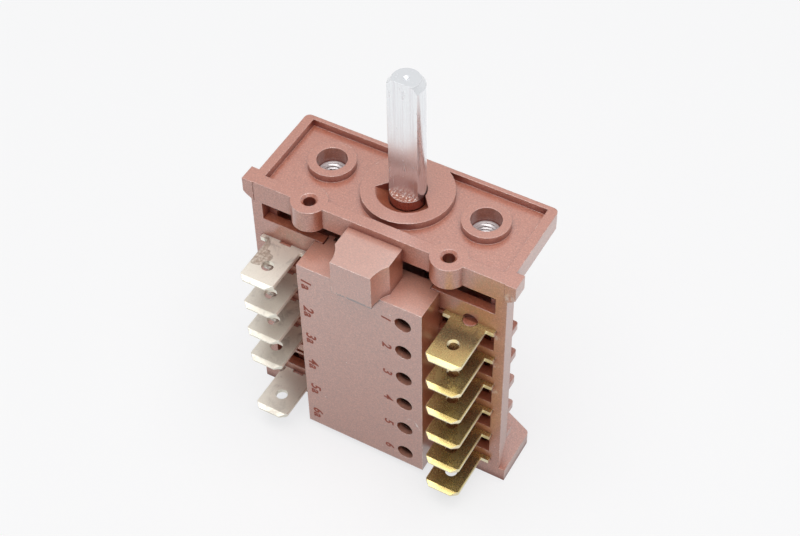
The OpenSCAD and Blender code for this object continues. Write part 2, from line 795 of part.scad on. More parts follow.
module detent_spring() {
  n = coils * spring_steps;
  points = [
    for (i = [0:n]) let (t = i / spring_steps, a = 360 * t, y = spring_out_y + spring_rise(t))
      for (j = [0:spring_sides - 1]) let (b = 360 * j / spring_sides)
        let (rr = spring_r + wire_d / 2 * cos(b))
        [rr * cos(a), y + wire_d / 2 * sin(b), detent_z + rr * sin(a)]
  ];
  s = spring_sides;
  faces = concat(
    [[for (j = [0:s - 1]) j]],
    [[for (j = [0:s - 1]) n * s + s - 1 - j]],
    [for (i = [0:n - 1]) for (j = [0:s - 1])
      [i * s + j, (i + 1) * s + j, (i + 1) * s + (j + 1) % s, i * s + (j + 1) % s]]
  );
  color(zinc) polyhedron(points = points, faces = faces, convexity = 8);
}

// Plan of a blade with its corner cuts, about its own middle
module blade_outline() {
  w = blade_w / 2;
  root = ladder_y - shoulder_out / 2; // inside the shoulders
  difference() {
    polygon([
      [-w, root], [-w, blade_tip_y + tip_cut], [-w + tip_cut, blade_tip_y],
      [w - tip_cut, blade_tip_y], [w, blade_tip_y + tip_cut], [w, root]
    ]);
    translate([0, blade_tip_y + blade_hole_y]) circle(d = blade_hole_d);
  }
}

// Long edges of the blade are broken by a small chamfer, its tip by a long bevel
module blade(k) {
  w = blade_w / 2;
  t = sheet_t / 2;
  c = edge_break;
  tip = blade_tip_y;
  intersection() {
    slab(sheet_bottom(k), sheet_top(k)) blade_outline();
    translate([0, 0, level_z(k)]) along_x(-w - 1, w + 1) polygon([
      [tip, -t + tip_bevel], [tip + tip_bevel_len, -t], [0, -t],
      [0, t], [tip + tip_bevel_len, t], [tip, t - tip_bevel]
    ]);
    translate([0, 0, level_z(k)]) rotate([90, 0, 0]) linear_extrude(-tip + 1) polygon([
      [-w, -t + c], [-w + c, -t], [w - c, -t], [w, -t + c],
      [w, t - c], [w - c, t], [-w + c, t], [-w, t - c]
    ]);
  }
}

// Upright plate bent up from the sheet's back edge, drawn in Y and Z
module upright(x_lo, x_hi, y, k) {
  along_x(x_lo, x_hi) translate([y, sheet_bottom(k)]) {
    translate([0, sheet_t]) square([sheet_t, upright_h - sheet_t]);
    intersection() {
      translate([0, sheet_t]) circle(sheet_t);
      square(sheet_t);
    }
    translate([-sheet_t, 0]) square([sheet_t + eps, sheet_t]);
  }
}

// Root of a terminal: shoulders in the slot, then a narrower tongue to the upright plate
module terminal_root(x, k, back_y, in_lo, in_hi) {
  slab(sheet_bottom(k), sheet_top(k)) {
    translate([x - shoulder_w / 2, ladder_y - shoulder_out])
      square([shoulder_w, shoulder_out + bar_depth - slide_gap]);
    translate([in_lo, bar_back - bar_depth / 2]) square([in_hi - in_lo, back_y - bar_back + bar_depth / 2]);
  }
}

module brass_terminal(k) {
  lo = brass_x - blade_w / 2;
  hi = inner_x - 1.2;
  color(brass) difference() {
    union() {
      translate([brass_x, 0, 0]) blade(k);
      terminal_root(brass_x, k, brass_plate_y, lo, hi);
      upright(contact_x - contact_d / 2 - 0.4, hi - 0.2, brass_plate_y, k);
    }
    translate([brass_x, ladder_y, sheet_bottom(k) - 1]) cylinder(h = sheet_t + 2, d = root_hole_d);
    // the plate is free of its foot between the contact and the tongue
    box([contact_x - contact_d, brass_plate_y - sheet_t - 1, sheet_bottom(k) - 1],
      [lo, brass_plate_y, sheet_top(k) + eps]);
    round_y(contact_x, contact_z(k), brass_plate_y - 1, brass_plate_y + sheet_t + 1, rivet_r);
  }
}

module steel_terminal(k) {
  w = root_slot_w / 2;
  lo = -inner_x + 1.0;
  hi = -steel_x + blade_w / 2;
  color(nickel) difference() {
    union() {
      translate([-steel_x, 0, 0]) blade(k);
      terminal_root(-steel_x, k, steel_plate_y, lo, hi);
      upright(lo + 0.2, -steel_plate_x, steel_plate_y, k);
    }
    box([-steel_x - w, ladder_y - slot_front, sheet_bottom(k) - 1],
      [-steel_x + w, ladder_y + slot_back, sheet_top(k) + 1]);
    box([hi, steel_plate_y - sheet_t - 1, sheet_bottom(k) - 1],
      [-steel_plate_x + 1, steel_plate_y, sheet_top(k) + eps]);
  }
}

// Level 5 has no blade on the left: a strap joins its spring to terminal 4
module level_5_link() {
  pad_lo = sheet_bottom(5);
  pad_hi = pad_lo + upright_h;
  strap_y = steel_plate_y + sheet_t;
  color(nickel) {
    box([link_lo_x, steel_plate_y, pad_lo], [-steel_plate_x, strap_y, pad_hi]);
    box([link_lo_x, strap_y, pad_lo], [link_hi_x, strap_y + sheet_t, sheet_bottom(4) + upright_h]);
  }
}

// Contact spring in plan: straight leaf with a rounded nose that rides on its cam
module leaf_outline() {
  r_in = nose_r - leaf_t;
  difference() {
    union() {
      translate([leaf_root_x, -leaf_y]) square([leaf_tip_x - leaf_root_x, leaf_t]);
      translate([-nose_r, -leaf_y]) square([2 * nose_r, nose_y + leaf_y]);
      translate([0, nose_y]) circle(nose_r);
    }
    translate([-r_in, -leaf_y - 1]) square([2 * r_in, nose_y + leaf_y + 1]);
    translate([0, nose_y]) circle(r_in);
  }
}

module contact_spring(k) {
  color(bronze) difference() {
    slab(contact_z(k) - leaf_w / 2, contact_z(k) + leaf_w / 2) leaf_outline();
    round_y(contact_x, contact_z(k), -leaf_y - 1, 0, rivet_r);
  }
}

// A contact rivet: head, shank through its carrier and a small tail behind
module fixed_contact(k) {
  z = contact_z(k);
  y = brass_plate_y;
  color(silver) {
    round_y(contact_x, z, y - contact_t, y, contact_d / 2);
    round_y(contact_x, z, y - eps, y + sheet_t + eps, rivet_r - seat);
    round_y(contact_x, z, y + sheet_t, y + sheet_t + tail_t, tail_r);
  }
}

module moving_contact(k) {
  z = contact_z(k);
  y = leaf_back;
  color(silver) {
    round_y(contact_x, z, y, y + contact_t, contact_d / 2);
    round_y(contact_x, z, y - leaf_t - eps, y + eps, rivet_r - seat);
    round_y(contact_x, z, y - leaf_t - tail_t, y - leaf_t, tail_r);
  }
}

front_frame();
rear_body();
front_cover();
shaft();
camshaft();
insert_left();
insert_right();
detent_ball();
detent_spring();
level_5_link();
brass_terminal(1);  // brass_terminal_1
brass_terminal(2);  // brass_terminal_2
brass_terminal(3);  // brass_terminal_3
brass_terminal(4);  // brass_terminal_4
brass_terminal(5);  // brass_terminal_5
brass_terminal(6);  // brass_terminal_6
steel_terminal(1);  // steel_terminal_1
steel_terminal(2);  // steel_terminal_2
steel_terminal(3);  // steel_terminal_3
steel_terminal(4);  // steel_terminal_4
steel_terminal(6);  // steel_terminal_6
contact_spring(1);  // contact_spring_1
contact_spring(2);  // contact_spring_2
contact_spring(3);  // contact_spring_3
contact_spring(4);  // contact_spring_4
contact_spring(5);  // contact_spring_5
contact_spring(6);  // contact_spring_6
fixed_contact(1);  // fixed_contact_1
fixed_contact(2);  // fixed_contact_2
fixed_contact(3);  // fixed_contact_3
fixed_contact(4);  // fixed_contact_4
fixed_contact(5);  // fixed_contact_5
fixed_contact(6);  // fixed_contact_6
moving_contact(1);  // moving_contact_1
moving_contact(2);  // moving_contact_2
moving_contact(3);  // moving_contact_3
moving_contact(4);  // moving_contact_4
moving_contact(5);  // moving_contact_5
moving_contact(6);  // moving_contact_6
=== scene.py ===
"""Looks of the oven selector switch: camera, light, materials, threads, numbers and detent spring.

Lengths are in metres, apart from those said to be in millimetres, which MM turns into metres.
"""

import json
import math

import bmesh
import bpy
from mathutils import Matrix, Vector

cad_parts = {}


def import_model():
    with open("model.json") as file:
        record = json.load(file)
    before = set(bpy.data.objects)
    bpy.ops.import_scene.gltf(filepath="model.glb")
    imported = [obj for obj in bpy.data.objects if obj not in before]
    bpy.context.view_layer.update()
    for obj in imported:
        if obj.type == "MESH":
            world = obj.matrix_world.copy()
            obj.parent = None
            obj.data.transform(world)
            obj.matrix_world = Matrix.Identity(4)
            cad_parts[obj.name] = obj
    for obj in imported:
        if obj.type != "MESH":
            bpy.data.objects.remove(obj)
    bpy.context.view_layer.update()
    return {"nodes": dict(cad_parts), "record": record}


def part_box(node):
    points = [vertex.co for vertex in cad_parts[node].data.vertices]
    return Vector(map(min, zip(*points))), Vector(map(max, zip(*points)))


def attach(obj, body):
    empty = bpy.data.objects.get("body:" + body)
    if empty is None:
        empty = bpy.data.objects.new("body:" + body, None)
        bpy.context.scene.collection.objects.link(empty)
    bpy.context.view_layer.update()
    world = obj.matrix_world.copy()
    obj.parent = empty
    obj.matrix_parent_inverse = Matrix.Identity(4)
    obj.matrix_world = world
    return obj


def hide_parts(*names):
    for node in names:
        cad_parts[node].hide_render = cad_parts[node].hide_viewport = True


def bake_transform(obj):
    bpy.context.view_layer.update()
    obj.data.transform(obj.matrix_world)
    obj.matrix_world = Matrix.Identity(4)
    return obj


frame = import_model()
nodes = frame["nodes"]
MM = 0.001

# Sizes that the solids share with the looks, in millimetres
FRONT = -10.5  # front plane of the ladder
COVER_FRONT = -16.3
LEVEL_1 = -12.05  # height of the first blades
PITCH = 6.85
LEVELS = 6
FIX_X = 14.0
BLADE_TIP = -20.5

# Reach of the looks on the solids, in millimetres
CORNER_REACH = 2.5  # how far a wall darkens the plastic beside it
PLASTIC_EDGE = 0.17  # width of the worn edges
SHEET_EDGE = 0.06
STEEL_EDGE = 0.08
MARKED_Y = (-30, -8)  # the front, where marks are drawn


def level_z(level):
    """Height of a level's blades."""
    return LEVEL_1 - PITCH * (level - 1)


def srgb(red, green, blue):
    """A colour written from 0 to 255, as the shader wants it."""
    def linear(value):
        value /= 255
        return value / 12.92 if value <= 0.04045 else ((value + 0.055) / 1.055) ** 2.4
    return (linear(red), linear(green), linear(blue), 1.0)


def new_object(name, data):
    """A new object in the scene."""
    made = bpy.data.objects.new(name, data)
    bpy.context.scene.collection.objects.link(made)
    return made


# Camera, at the photograph's place

camera_data = bpy.data.cameras.new("camera")
camera_data.lens = 74.345
camera_data.sensor_width = 36
camera_data.clip_start = 0.01
camera = new_object("camera", camera_data)
camera.location = (0.090736, -0.158558, 0.187900)
camera.rotation_euler = [math.radians(a) for a in (41.4447, 0.8100, 29.3409)]
bpy.context.scene.camera = camera


# Material building blocks

class Shader:
    """A material's node tree, with short calls for the nodes used here."""

    def __init__(self, name):
        self.material = bpy.data.materials.new(name)
        self.material.use_nodes = True
        self.tree = self.material.node_tree
        self.bsdf = self.tree.nodes["Principled BSDF"]
        self.place = self.tree.nodes.new("ShaderNodeTexCoord").outputs["Object"]
        self.axis = self.add("ShaderNodeSeparateXYZ", Vector=self.place).outputs

    def add(self, kind, **sockets):
        """A node, with its inputs set from values or linked from sockets; i0 is its first input."""
        node = self.tree.nodes.new(kind)
        for name, value in sockets.items():
            numbered = name[0] == "i" and name[1:].isdigit()
            self.set(node.inputs[int(name[1:]) if numbered else name], value)
        return node

    def set(self, socket, value):
        """Links a socket to another, or gives it a value."""
        if isinstance(value, bpy.types.NodeSocket):
            self.tree.links.new(value, socket)
        else:
            socket.default_value = value

    def noise(self, scale, detail=3.0, roughness=0.55, distortion=0.0, seed=0.0):
        """Noise over the object, with scale features per metre, or as many along X, Y and Z."""
        size = scale if isinstance(scale, tuple) else (scale, scale, scale)
        node = self.add("ShaderNodeMapping", Vector=self.place, Scale=size, Location=(seed, seed, seed))
        noise = self.add(
            "ShaderNodeTexNoise", Vector=node.outputs["Vector"], Scale=1.0,
            Detail=detail, Roughness=roughness, Distortion=distortion,
        )
        return noise.outputs["Fac"]

    def range(self, value, low, high, to_low=0.0, to_high=1.0):
        """A value eased from the range low to high into the range to_low to to_high, all plain numbers."""
        node = self.add("ShaderNodeMapRange", Value=value)
        node.interpolation_type = "SMOOTHSTEP"
        ends = {"From Min": low, "From Max": high, "To Min": to_low, "To Max": to_high}
        for name, end in ends.items():
            node.inputs[name].default_value = end
        return node.outputs["Result"]

    def math(self, operation, first, second=0.0):
        """One arithmetic step."""
        node = self.add("ShaderNodeMath", i0=first, i1=second)
        node.operation = operation
        return node.outputs["Value"]

    def mix(self, factor, first, second):
        """A colour between two, at factor of the way to the second."""
        node = self.tree.nodes.new("ShaderNodeMix")
        node.data_type = "RGBA"
        self.set(node.inputs["Factor"], factor)
        self.set(node.inputs[6], first)
        self.set(node.inputs[7], second)
        return node.outputs[2]

    def edges(self, radius, low, high):
        """1 near sharp edges, 0 on open faces, and the rounded normal."""
        bevel = self.add("ShaderNodeBevel", Radius=radius)
        bevel.samples = 6
        geometry = self.tree.nodes.new("ShaderNodeNewGeometry")
        dot = self.add("ShaderNodeVectorMath", i0=bevel.outputs["Normal"], i1=geometry.outputs["Normal"])
        dot.operation = "DOT_PRODUCT"
        return self.range(dot.outputs["Value"], low, high, 1.0, 0.0), bevel.outputs["Normal"]

    def facing(self, axis):
        """1 on faces square to an axis, 0 on faces along it."""
        geometry = self.tree.nodes.new("ShaderNodeNewGeometry")
        normal = self.add("ShaderNodeSeparateXYZ", Vector=geometry.outputs["Normal"])
        return self.range(self.math("ABSOLUTE", normal.outputs[axis]), 0.30, 0.60)

    def recess(self, reach):
        """1 in corners and openings that walls stand round within reach, 0 on open faces and edges."""
        node = self.add("ShaderNodeAmbientOcclusion", Distance=reach)
        node.samples = 6
        return self.range(node.outputs["AO"], 0.48, 0.93, 1.0, 0.0)

    def between(self, axis, low, high, soft=0.1):
        """1 where a coordinate in millimetres lies between two values."""
        rise = self.range(self.axis[axis], (low - soft) * MM, (low + soft) * MM)
        fall = self.range(self.axis[axis], (high - soft) * MM, (high + soft) * MM, 1.0, 0.0)
        return self.math("MULTIPLY", rise, fall)

    def bump(self, height, strength, distance, normal=None):
        """A normal that follows a height, on top of another normal."""
        node = self.add("ShaderNodeBump", Height=height, Strength=strength, Distance=distance)
        if normal:
            self.set(node.inputs["Normal"], normal)
        return node.outputs["Normal"]

    def spot(self, centre, radii, fray, axes="XZ", turn=0.0, wobble=0.0):
        """A soft-edged mark round a place, multiplied by fray, from 0 to 1; wobble moves its outline."""
        cos, sin = math.cos(math.radians(turn)), math.sin(math.radians(turn))
        along = [self.math("SUBTRACT", self.axis[a], c * MM) for a, c in zip(axes, centre)]
        turned = [
            self.math(join, self.math("MULTIPLY", first, cos), self.math("MULTIPLY", second, sin))
            for join, first, second in (("ADD", *along), ("SUBTRACT", *reversed(along)))
        ]
        squares = [
            self.math("POWER", self.math("ABSOLUTE", self.math("DIVIDE", part, radius * MM)), 2.0)
            for part, radius in zip(turned, radii)
        ]
        far = self.math("ADD", *squares)
        if wobble:
            wander = self.math("SUBTRACT", self.noise(520.0, 3.0, 0.6, seed=5.0), 0.5)
            far = self.math("ADD", far, self.math("MULTIPLY", wander, wobble))
        inside = self.range(far, 0.2, 1.0, 1.0, 0.0)
        return self.math("MULTIPLY", inside, fray)


def moulding(name, front_gloss, whole, dust_and_painted_light, marks, shaded=()):
    """Brown-red mineral-filled plastic with a hazy sheen, grain and specks.

    front_gloss scales the sheen of faces along Y, and a lower whole chips more of the edges.
    dust_and_painted_light pales the level faces, as dust and as painted light. Marks are listed below.
    shaded gives ranges of X, Y and Z painted dark as shade; corners and recesses get painted shade too.
    """
    s = Shader(name)
    body = s.mix(s.noise(160.0, 4.0), srgb(178, 94, 65), srgb(191, 108, 76))
    grain = s.noise(3600.0, 3.0, 0.75, seed=14.0)
    body = s.mix(s.range(grain, 0.50, 0.70, 0.0, 0.75), body, srgb(222, 152, 124))
    body = s.mix(s.range(grain, 0.30, 0.50, 0.70, 0.0), body, srgb(134, 66, 47))
    specks = s.range(s.noise(4800.0, 2.0, 0.7, seed=3.0), 0.58, 0.70)
    body = s.mix(s.math("MULTIPLY", specks, 0.45), body, srgb(226, 174, 152))
    flecks = s.range(s.noise(1500.0, 1.0, seed=12.0), 0.80, 0.83)
    body = s.mix(s.math("MULTIPLY", flecks, 0.8), body, srgb(244, 232, 226))
    # Dust and painted light: the level faces are paled.
    body = s.mix(s.math("MULTIPLY", s.facing("Z"), dust_and_painted_light), body, srgb(236, 204, 190))
    recess = s.recess(CORNER_REACH * MM)
    # Painted shade: the plastic darkens in corners and recesses, mostly on upright faces.
    corner_shade = s.math("MULTIPLY", recess, s.range(s.facing("Z"), 0.0, 1.0, 1.0, 0.15))
    body = s.mix(s.math("MULTIPLY", corner_shade, 0.90), body, srgb(126, 62, 53))
    # Painted shade in the depths of holes, in the ranges that shaded gives.
    hole_shade = 1.0 if shaded else 0.0
    for axis, (low, high) in zip("XYZ", shaded):
        hole_shade = s.math("MULTIPLY", s.between(axis, low, high, 0.4), hole_shade)
    body = s.mix(s.math("MULTIPLY", hole_shade, 0.9), body, srgb(64, 34, 28))
    edge_wear_and_glint, round_normal = s.edges(PLASTIC_EDGE * MM, 0.90, 0.999)
    chips = s.range(s.noise(900.0, 4.0, 0.75, seed=1.0), whole, whole + 0.07, 0.05, 0.95)
    chips = s.math("MULTIPLY", chips, s.range(recess, 0.35, 0.8, 1.0, 0.0))
    body = s.mix(s.math("MULTIPLY", edge_wear_and_glint, chips), body, srgb(255, 230, 216))
    fray = s.range(s.noise((1800.0, 1800.0, 900.0), 4.0, 0.7, seed=5.0), 0.40, 0.62)
    for centre, radii, turn, strength, colour in marks:
        mark = s.math("MULTIPLY", s.spot(centre, radii, fray, turn=turn), s.between("Y", *MARKED_Y, 0.5))
        body = s.mix(s.math("MULTIPLY", mark, strength), body, colour)
    s.set(s.bsdf.inputs["Base Color"], body)
    s.set(s.bsdf.inputs["Roughness"], s.range(s.noise(900.0, 4.0, seed=2.0), 0.3, 0.7, 0.28, 0.36))
    s.bsdf.inputs["IOR"].default_value = 2.05
    # Reflections are damped where the painted shade lies.
    sheltered = s.range(s.math("MAXIMUM", corner_shade, hole_shade), 0.0, 1.0, 1.0, 0.20)
    gloss = s.math("MULTIPLY", s.range(s.facing("Y"), 0.0, 1.0, 1.0, front_gloss), sheltered)
    s.set(s.bsdf.inputs["Specular IOR Level"], gloss)
    s.set(s.bsdf.inputs["Coat Weight"], gloss)
    s.bsdf.inputs["Coat Roughness"].default_value = 0.30
    s.set(s.bsdf.inputs["Normal"], s.bump(grain, 0.18, 0.02 * MM, round_normal))
    return s.material


def sheet_metal(name, clean, dull, stain, rear_darkening, roughness, metallic, wear_and_glint_colour, marks=()):
    """Rolled and stamped sheet: grain, painted glints, tarnish, a darker rear, stains and bright sheared
    faces; painted shade on the lower shoulders and where the blade goes into the body.
    """
    s = Shader(name)
    body = s.mix(s.noise((260.0, 200.0, 260.0), 4.0, 0.6), clean, dull)
    blotch = s.range(s.noise((420.0, 300.0, 420.0), 5.0, 0.62, 0.6, seed=7.0), 0.50, 0.70)
    root = s.range(s.axis["Y"], BLADE_TIP * MM + 3.0 * MM, FRONT * MM, 0.25, 0.75)
    body = s.mix(s.math("MULTIPLY", blotch, root), body, stain)
    # The rear of each blade, towards the plastic, is darker.
    body = s.mix(s.math("MULTIPLY", s.between("Y", BLADE_TIP + 4.5, FRONT - 1, 2.0), rear_darkening), body, stain)
    grain = s.noise((3400.0, 2600.0, 3000.0), 3.0, 0.75, seed=11.0)
    body = s.mix(s.range(grain, 0.30, 0.50, 0.10, 0.0), body, stain)
    # Painted glints: fine bright specks in the colour.
    glint_specks = s.range(s.noise(4200.0, 2.0, 0.6, seed=13.0), 0.64, 0.74)
    body = s.mix(s.math("MULTIPLY", glint_specks, 0.20), body, wear_and_glint_colour)
    edge_wear_and_glint, round_normal = s.edges(SHEET_EDGE * MM, 0.75, 0.99)
    sheared = s.math("SUBTRACT", 1.0, s.facing("Z"))
    edge_wear_and_glint = s.math("MAXIMUM", s.math("MULTIPLY", edge_wear_and_glint, 0.5), s.math("MULTIPLY", sheared, 0.85))
    body = s.mix(edge_wear_and_glint, body, wear_and_glint_colour)
    mottle = s.range(s.noise(1900.0, 4.0, 0.7, seed=9.0), 0.36, 0.62, 0.25, 0.90)
    for spots, low, high, fill, outline in marks:
        here = s.between("Z", low, high)
        mark = 0.0
        for centre, radii, turn in spots:
            mark = s.math("MAXIMUM", s.spot(centre, radii, here, "XY", turn, 1.6), mark)
        body = s.mix(s.math("MULTIPLY", s.range(mark, 0.10, 0.40), mottle), body, fill)
        rim = s.math("MULTIPLY", s.range(mark, 0.04, 0.25), s.range(mark, 0.25, 0.60, 1.0, 0.0))
        body = s.mix(s.math("MULTIPLY", rim, 0.45), body, outline)
    # Painted shade: where the blade goes into the body it takes the red-brown of the shaded inside and
    # loses its metal.
    inside = s.range(s.axis["Y"], (FRONT + 0.1) * MM, (FRONT + 0.6) * MM)
    body = s.mix(inside, body, srgb(150, 84, 68))
    s.set(s.bsdf.inputs["Base Color"], body)
    s.set(s.bsdf.inputs["Metallic"], s.range(inside, 0.0, 1.0, metallic, 0.0))
    rough = s.range(grain, 0.3, 0.7, roughness + 0.04, roughness - 0.04)
    duller = s.math("MULTIPLY", s.math("MAXIMUM", blotch, edge_wear_and_glint), 0.12)
    s.set(s.bsdf.inputs["Roughness"], s.math("ADD", rough, duller))
    s.bsdf.inputs["Coat Weight"].default_value = 0.8
    s.bsdf.inputs["Coat Roughness"].default_value = 0.5
    waves = s.noise(1600.0, 4.0, 0.75, seed=2.0)
    s.set(s.bsdf.inputs["Normal"], s.bump(waves, 0.05, 0.01 * MM, round_normal))
    return s.material


def drawn_steel(name, colour, roughness, lines_scale, metallic=0.90):
    """Plated steel with fine draw marks along one direction, and a soiled ledge where it enters
    the plastic; painted highlights on the edges, and painted reflection and shade towards the foot.
    """
    s = Shader(name)
    level = s.facing("Z")
    lines = s.math("MULTIPLY", s.noise(lines_scale, 4.0, 0.7), s.math("SUBTRACT", 1.0, level))
    lines = s.math("ADD", lines, s.math("MULTIPLY", level, 0.5))
    body = s.mix(s.range(lines, 0.42, 0.72, 0.0, 0.6), colour, srgb(222, 220, 226))
    scuffs = s.range(s.noise((900.0, 900.0, 260.0), 4.0, 0.7, seed=6.0), 0.60, 0.72)
    body = s.mix(s.math("MULTIPLY", scuffs, 0.22), body, srgb(184, 178, 184))
    ledge = s.math("MULTIPLY", level, s.between("Z", -1, 1))
    soil = s.range(s.noise(3000.0, 2.0, 0.6, seed=3.0), 0.53, 0.63, 1.0, 0.0)
    # Painted reflection of the shaded tray: the shaft is greyer and darker towards its foot.
    body = s.mix(s.range(s.axis["Z"], 2 * MM, 10 * MM, 0.7, 0.0), body, srgb(200, 190, 192))
    # Painted shade and red reflection on the part of the shaft inside the bore.
    body = s.mix(s.between("Z", -2.7, -0.1, 0.1), body, srgb(170, 112, 98))
    body = s.mix(ledge, body, s.mix(soil, srgb(255, 244, 236), srgb(178, 108, 86)))
    # Painted highlight: the steel's edges are whitened.
    edge_wear_and_glint, round_normal = s.edges(STEEL_EDGE * MM, 0.80, 0.99)
    body = s.mix(s.math("MULTIPLY", edge_wear_and_glint, 0.8), body, srgb(255, 255, 255))
    s.set(s.bsdf.inputs["Base Color"], body)
    s.set(s.bsdf.inputs["Metallic"], s.range(level, 0.0, 1.0, metallic, 0.30))
    rough = s.range(lines, 0.3, 0.7, roughness - 0.03, roughness + 0.04)
    duller = s.math("MULTIPLY", s.math("MAXIMUM", scuffs, ledge), 0.15)
    s.set(s.bsdf.inputs["Roughness"], s.math("ADD", rough, duller))
    s.bsdf.inputs["Coat Weight"].default_value = 0.6
    s.bsdf.inputs["Coat Roughness"].default_value = 0.4
    s.set(s.bsdf.inputs["Normal"], s.bump(lines, 0.008, 0.01 * MM, round_normal))
    return s.material


def plain(name, colour, roughness, metallic=0.0):
    """Material of a hidden inner part: slight mottling and grain."""
    s = Shader(name)
    shade = tuple(0.8 * v for v in colour[:3]) + (1.0,)
    s.set(s.bsdf.inputs["Base Color"], s.mix(s.noise(600.0, 4.0), colour, shade))
    rough = s.range(s.noise(900.0, 3.0, seed=1.0), 0.3, 0.7, roughness - 0.05, roughness + 0.08)
    s.set(s.bsdf.inputs["Roughness"], rough)
    s.bsdf.inputs["Metallic"].default_value = metallic
    s.set(s.bsdf.inputs["Normal"], s.bump(s.noise(3000.0, 3.0, seed=2.0), 0.15, 0.01 * MM))
    return s.material


PALE = srgb(232, 214, 208)
BROWN = srgb(150, 100, 72)
DARK = srgb(96, 48, 38)
# Marks on the front: place (X, Z), half sizes, turn in degrees, strength, colour.
# They fray, and a strength over 1 fills the frayed parts.
FRAME_MARKS = (
    ((19.0, -1.8), (4.5, 2.2), -10, 0.45, BROWN),
    ((15.5, -9.6), (5.0, 2.0), 0, 0.60, BROWN),
    ((-15.8, -9.6), (3.4, 1.6), 0, 0.45, BROWN),
    ((23.6, -3.0), (1.2, 1.6), 0, 0.60, PALE),
) + tuple(((21.4, level_z(level) - 1.4), (1.0, 0.8), 0, 0.70, PALE) for level in (1, 2, 3))
COVER_MARKS = (
    ((10.4, -37.1), (0.25, 1.6), 33, 0.9, PALE),
    ((9.0, -36.2), (0.9, 0.25), 20, 0.5, PALE),
    ((0.0, -8.35), (5.6, 0.34), 0, 2.6, DARK),
)
# Marks on the left blades, a stain on the first and painted shade on the lower shoulders:
# spots as place (X, Y), half sizes and turn; lowest and highest Z; fill, outline
STAIN = (((-19.1, -14.9), (1.9, 2.1), 0), ((-19.9, -12.9), (1.0, 2.4), 12))
# Painted shade on the shoulders of the blades below the first, under the blades above
SHOULDER_SHADE = (((-21.0, -11.3), (1.6, 1.2), 0),)
NICKEL_MARKS = (
    (STAIN, LEVEL_1 - 1, LEVEL_1 + 1, srgb(168, 148, 130), srgb(120, 98, 76)),
    (SHOULDER_SHADE, level_z(LEVELS) - 1, LEVEL_1 - 1, srgb(128, 104, 90), srgb(118, 92, 78)),
)
# Painted shade in the depths of the cover's holes, as ranges of X, Y and Z
HOLE_SHADE_RANGES = ((6.2, 10.6), (COVER_FRONT + 1.0, COVER_FRONT + 5.0), (-48.5, -10.0))

red = moulding("moulding_red", front_gloss=0.66, whole=0.53, dust_and_painted_light=0.0, marks=FRAME_MARKS)
red_cover = moulding(
    "moulding_cover", front_gloss=1.0, whole=0.45, dust_and_painted_light=0.27, marks=COVER_MARKS, shaded=HOLE_SHADE_RANGES,
)
brass = sheet_metal(
    "brass_sheet", clean=srgb(232, 210, 140), dull=srgb(210, 190, 124), stain=srgb(112, 92, 64),
    rear_darkening=0.50, roughness=0.25, metallic=0.88, wear_and_glint_colour=srgb(255, 246, 212),
)
nickel = sheet_metal(
    "nickel_sheet", clean=srgb(250, 244, 230), dull=srgb(232, 226, 214), stain=srgb(146, 134, 126),
    rear_darkening=0.14, roughness=0.42, metallic=0.60, wear_and_glint_colour=srgb(255, 252, 240), marks=NICKEL_MARKS,
)
steel = drawn_steel("drawn_steel", srgb(240, 243, 246), 0.24, (3000.0, 3000.0, 45.0))
insert_metal = drawn_steel("insert_metal", srgb(250, 250, 248), 0.22, (1200.0, 1200.0, 900.0), 0.55)
ball_steel = plain("ball_steel", srgb(200, 200, 204), 0.18, 1.0)
spring_bronze = plain("spring_bronze", srgb(196, 140, 84), 0.30, 1.0)
contact_silver = plain("contact_silver", srgb(225, 225, 228), 0.25, 1.0)
# Painted light: the cam plastic is made pale so the slots that show it read lighter, standing in for light
# bouncing in.
cam_plastic = plain("cam_plastic", srgb(190, 140, 134), 0.5)

BY_SLOT = {
    "moulding": red,
    "shaft_steel": steel,
    "cam_plastic": cam_plastic,
    "insert_metal": insert_metal,
    "spring_steel": ball_steel,
    "brass_sheet": brass,
    "plated_metal": nickel,
    "spring_bronze": spring_bronze,
    "contact_silver": contact_silver,
}

for part in frame["record"]["subparts"]:
    data = nodes[part["node"]].data
    data.materials.clear()
    data.materials.append(BY_SLOT[part["material_slot"]])
nodes["front_cover"].data.materials[0] = red_cover


# Pieces

def mesh_piece(name, verts, faces, material, body):
    """A new mesh object in the row frame, riding on a body."""
    mesh = bpy.data.meshes.new(name)
    mesh.from_pydata(verts, [], faces)
    mesh.update()
    mesh.materials.append(material)
    piece = new_object(name, mesh)
    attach(piece, body)
    return piece


def threaded_insert(name, x):
    """The insert with its M4 thread cut, turned as rings of a radius that follows the helix."""
    top, length = -2.85, 6.0
    outer, crest, root, pitch = 2.52, 1.65, 2.0, 0.7
    chamfer, lead_in = 0.08, 0.45
    steepness, crest_share = 1.35, 0.15
    around, per_turn = 96, 10
    steps = int(length / pitch * per_turn)
    rows = []
    for i in range(steps + 1):
        depth = length * i / steps
        row = []
        for j in range(around):
            turn = j / around
            phase = (depth / pitch + turn) % 1.0
            groove = 1 - abs(2 * phase - 1)
            groove = min(max(groove * steepness - crest_share, 0.0), 1.0)
            lead = max(lead_in - depth, 0.0)
            radius = crest + max((root - crest) * groove, lead)
            angle = 2 * math.pi * turn
            row.append((x + radius * math.cos(angle), radius * math.sin(angle), top - depth))
        rows.append(row)

    def ring(radius, height):
        angles = [2 * math.pi * j / around for j in range(around)]
        return [(x + radius * math.cos(a), radius * math.sin(a), height) for a in angles]

    low = top - length
    outside = [ring(outer, low), ring(outer, top - chamfer), ring(outer - chamfer, top)]
    profile = outside + rows + [ring(outer, low)]
    verts = [tuple(c * MM for c in point) for row in profile for point in row]
    faces = []
    for i in range(len(profile) - 1):
        for j in range(around):
            k = (j + 1) % around
            faces.append((i * around + j, i * around + k, (i + 1) * around + k, (i + 1) * around + j))
    piece = mesh_piece(name + "_threaded", verts, faces, insert_metal, "housing")
    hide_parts(name)


